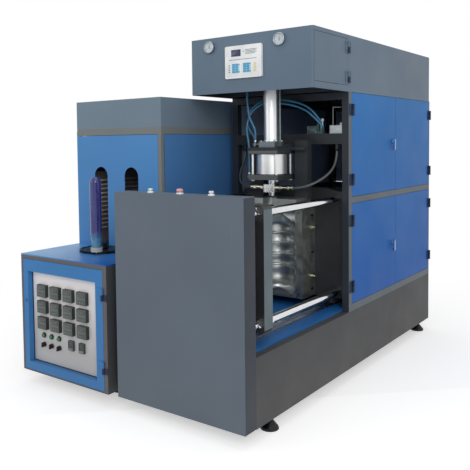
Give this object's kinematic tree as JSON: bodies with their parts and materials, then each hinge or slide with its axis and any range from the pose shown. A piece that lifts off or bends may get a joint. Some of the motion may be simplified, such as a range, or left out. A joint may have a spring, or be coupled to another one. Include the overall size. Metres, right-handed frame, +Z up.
{
  "type": "blow moulding machine",
  "caption": "Two-stage stretch blow moulding machine: a preform heater with infrared oven and carrier chain beside a blowing machine with mould clamp, stretch unit and doored cabinet",
  "frame": {"origin": "on the floor under the middle of the two machines' bounding box", "axes": "+X to the right along both fronts, +Y to the back, +Z up"},
  "size_m": [1.548, 2.4082, 1.94],
  "materials": {
    "console_grey": "satin powder coat",
    "header_slate": "satin powder coat",
    "plinth_grey": "satin paint",
    "frame_grey": "satin paint",
    "door_blue": "satin powder coat",
    "panel_blue": "satin powder coat",
    "deck_blue": "satin paint",
    "foot_steel": "zinc plated",
    "rail_steel": "ground",
    "hinge_dark": "dark enamel",
    "handle_chrome": "polished",
    "platen_paint": "painted casting",
    "bar_chrome": "hard chrome",
    "mould_aluminium": "milled",
    "gantry_dark": "dark paint",
    "bright_aluminium": "bright milled",
    "valve_grey": "anodised",
    "hose_blue": "polyurethane hose",
    "hose_dark": "rubber hose",
    "keypad_white": "membrane keypad",
    "gauge_silver": "bright rim",
    "needle_black": "black",
    "collar_metal": "anodised",
    "button_green": "moulded",
    "stop_red": "moulded",
    "heater_grey": "satin powder coat",
    "table_blue": "satin powder coat",
    "heater_door_blue": "satin powder coat",
    "instrument_white": "satin white",
    "regulator_grey": "moulded",
    "indicator_green": "moulded",
    "switch_black": "moulded",
    "oven_grey": "satin powder coat",
    "oven_light_blue": "satin powder coat",
    "oven_deep_blue": "satin powder coat",
    "lamp_quartz": "quartz tube",
    "reflector_steel": "polished sheet",
    "sprocket_black": "blackened",
    "chain_steel": "oiled chain",
    "spindle_cream": "moulded",
    "preform_blue": "moulded",
    "motor_grey": "paint"
  },
  "bodies": {
    "machine": {"base_plinth": "plinth_grey", "blow_support": "gantry_dark", "blue_hoses": "hose_blue", "button_collars": "collar_metal", "cabinet_frame": "frame_grey", "cabinet_panels": "panel_blue", "console_cover": "console_grey", "control_panel": "keypad_white", "conveyor_chain": "chain_steel", "dark_hoses": "hose_dark", "deck_plate": "deck_blue", "drive_motor": "motor_grey", "gauge_cases": "gauge_silver", "guide_rails": "rail_steel", "header_shell": "header_slate", "heater_cabinet": "heater_grey", "heater_table": "table_blue", "heating_lamps": "lamp_quartz", "hinge_brackets": "hinge_dark", "lamp_racks": "reflector_steel", "levelling_feet": "foot_steel", "neck_plate": "bright_aluminium", "oven_casing": "oven_grey", "oven_front_panel": "oven_light_blue", "oven_side_panels": "oven_deep_blue", "seal_cylinder": "bright_aluminium", "stretch_cylinder": "bright_aluminium", "valve_blocks": "valve_grey"},
    "clamp_frame": {"front_platen": "platen_paint", "tie_bars": "bar_chrome", "clamp_cylinder": "platen_paint", "front_mould_half": "mould_aluminium"},
    "rear_clamp": {"rear_platen": "platen_paint", "rear_mould_half": "mould_aluminium", "clamp_rod": "bar_chrome"},
    "stretch": {"stretch_rod": "bar_chrome"},
    "nozzle": {"blow_nozzle": "bright_aluminium"},
    "upper_front": {"upper_front_door": "door_blue"},
    "upper_rear": {"upper_rear_door": "door_blue"},
    "lower_front": {"lower_front_door": "door_blue"},
    "lower_rear": {"lower_rear_door": "door_blue"},
    "upper_handle": {"upper_door_handle": "handle_chrome"},
    "lower_handle": {"lower_door_handle": "handle_chrome"},
    "header_door": {"header_side_door": "header_slate"},
    "left_button": {"start_button_left": "button_green"},
    "right_button": {"start_button_right": "button_green"},
    "stop_button": {"emergency_stop": "stop_red"},
    "left_needle": {"gauge_needle_left": "needle_black"},
    "right_needle": {"gauge_needle_right": "needle_black"},
    "heater_door": {"heater_front_door": "heater_door_blue", "instrument_panel": "instrument_white", "lamp_regulators": "regulator_grey", "panel_indicators": "indicator_green"},
    "left_switch": {"rotary_switch_left": "switch_black"},
    "middle_switch": {"rotary_switch_middle": "switch_black"},
    "right_switch": {"rotary_switch_right": "switch_black"},
    "front_wheel": {"front_sprocket": "sprocket_black"},
    "rear_wheel": {"rear_sprocket": "sprocket_black"},
    "spindle": {"preform_spindle": "spindle_cream", "preform": "preform_blue"}
  },
  "joints": [
    {"name": "clamp_stroke", "type": "slide", "parent": "machine", "child": "clamp_frame", "axis": [0, 1, 0], "range_m": [0, 0.40785]},
    {"name": "rear_stroke", "type": "slide", "parent": "machine", "child": "rear_clamp", "axis": [0, -1, 0], "range_m": [0, 0.07587]},
    {"name": "stretch_stroke", "type": "slide", "parent": "machine", "child": "stretch", "axis": [0, 0, -1], "range_m": [0, 0.505]},
    {"name": "nozzle_stroke", "type": "slide", "parent": "machine", "child": "nozzle", "axis": [0, 0, -1], "range_m": [0, 0.03]},
    {"name": "upper_front_swing", "type": "hinge", "parent": "machine", "child": "upper_front", "pos_m": [0.7593, -0.08885, 1.34], "axis": [0, 0, -1], "range_deg": [0, 110]},
    {"name": "upper_rear_swing", "type": "hinge", "parent": "machine", "child": "upper_rear", "pos_m": [0.7593, 1.19315, 1.34], "axis": [0, 0, 1], "range_deg": [0, 110]},
    {"name": "lower_front_swing", "type": "hinge", "parent": "machine", "child": "lower_front", "pos_m": [0.7593, -0.08885, 0.723], "axis": [0, 0, -1], "range_deg": [0, 110]},
    {"name": "lower_rear_swing", "type": "hinge", "parent": "machine", "child": "lower_rear", "pos_m": [0.7593, 1.19315, 0.723], "axis": [0, 0, 1], "range_deg": [0, 110]},
    {"name": "upper_handle_turn", "type": "hinge", "parent": "upper_front", "child": "upper_handle", "pos_m": [0.762, 0.50215, 1.351], "axis": [1, 0, 0], "range_deg": [0, 90]},
    {"name": "lower_handle_turn", "type": "hinge", "parent": "lower_front", "child": "lower_handle", "pos_m": [0.762, 0.50215, 0.714], "axis": [1, 0, 0], "range_deg": [0, 90]},
    {"name": "header_door_swing", "type": "hinge", "parent": "machine", "child": "header_door", "pos_m": [0.7593, -0.13985, 1.785], "axis": [0, 0, 1], "range_deg": [0, 110]},
    {"name": "left_button_press", "type": "slide", "parent": "machine", "child": "left_button", "axis": [0, 0, -1], "range_m": [0, 0.005], "stiffness_N_per_m": 400},
    {"name": "right_button_press", "type": "slide", "parent": "machine", "child": "right_button", "axis": [0, 0, -1], "range_m": [0, 0.005], "stiffness_N_per_m": 400},
    {"name": "stop_button_press", "type": "slide", "parent": "machine", "child": "stop_button", "axis": [0, 0, -1], "range_m": [0, 0.005], "stiffness_N_per_m": 500},
    {"name": "left_needle_sweep", "type": "hinge", "parent": "machine", "child": "left_needle", "pos_m": [0.111, -0.54885, 1.889], "axis": [0, 1, 0], "range_deg": [-135, 135]},
    {"name": "right_needle_sweep", "type": "hinge", "parent": "machine", "child": "right_needle", "pos_m": [0.562, -0.54885, 1.889], "axis": [0, 1, 0], "range_deg": [-135, 135]},
    {"name": "heater_door_swing", "type": "hinge", "parent": "machine", "child": "heater_door", "pos_m": [-0.112, -1.19715, 0.41], "axis": [0, 0, 1], "range_deg": [0, 100]},
    {"name": "left_switch_turn", "type": "hinge", "parent": "heater_door", "child": "left_switch", "pos_m": [-0.623, -1.16585, 0.232], "axis": [0, 1, 0], "range_deg": [0, 90]},
    {"name": "middle_switch_turn", "type": "hinge", "parent": "heater_door", "child": "middle_switch", "pos_m": [-0.559, -1.16585, 0.232], "axis": [0, 1, 0], "range_deg": [0, 90]},
    {"name": "right_switch_turn", "type": "hinge", "parent": "heater_door", "child": "right_switch", "pos_m": [-0.495, -1.16585, 0.232], "axis": [0, 1, 0], "range_deg": [0, 90]},
    {"name": "front_wheel_spin", "type": "hinge", "parent": "machine", "child": "front_wheel", "pos_m": [-0.442, -0.86785, 0.745], "axis": [0, 0, 1], "continuous": true},
    {"name": "rear_wheel_spin", "type": "hinge", "parent": "machine", "child": "rear_wheel", "pos_m": [-0.442, 0.13215, 0.745], "axis": [0, 0, 1], "continuous": true},
    {"name": "spindle_spin", "type": "hinge", "parent": "machine", "child": "spindle", "pos_m": [-0.37762, -0.975, 0.76], "axis": [0, 0, 1], "continuous": true}
  ],
  "couplings": [
    {"joint": "rear_stroke", "follows": "clamp_stroke", "ratio": 0.18598},
    {"joint": "front_wheel_spin", "follows": "rear_wheel_spin", "ratio": 1}
  ]
}
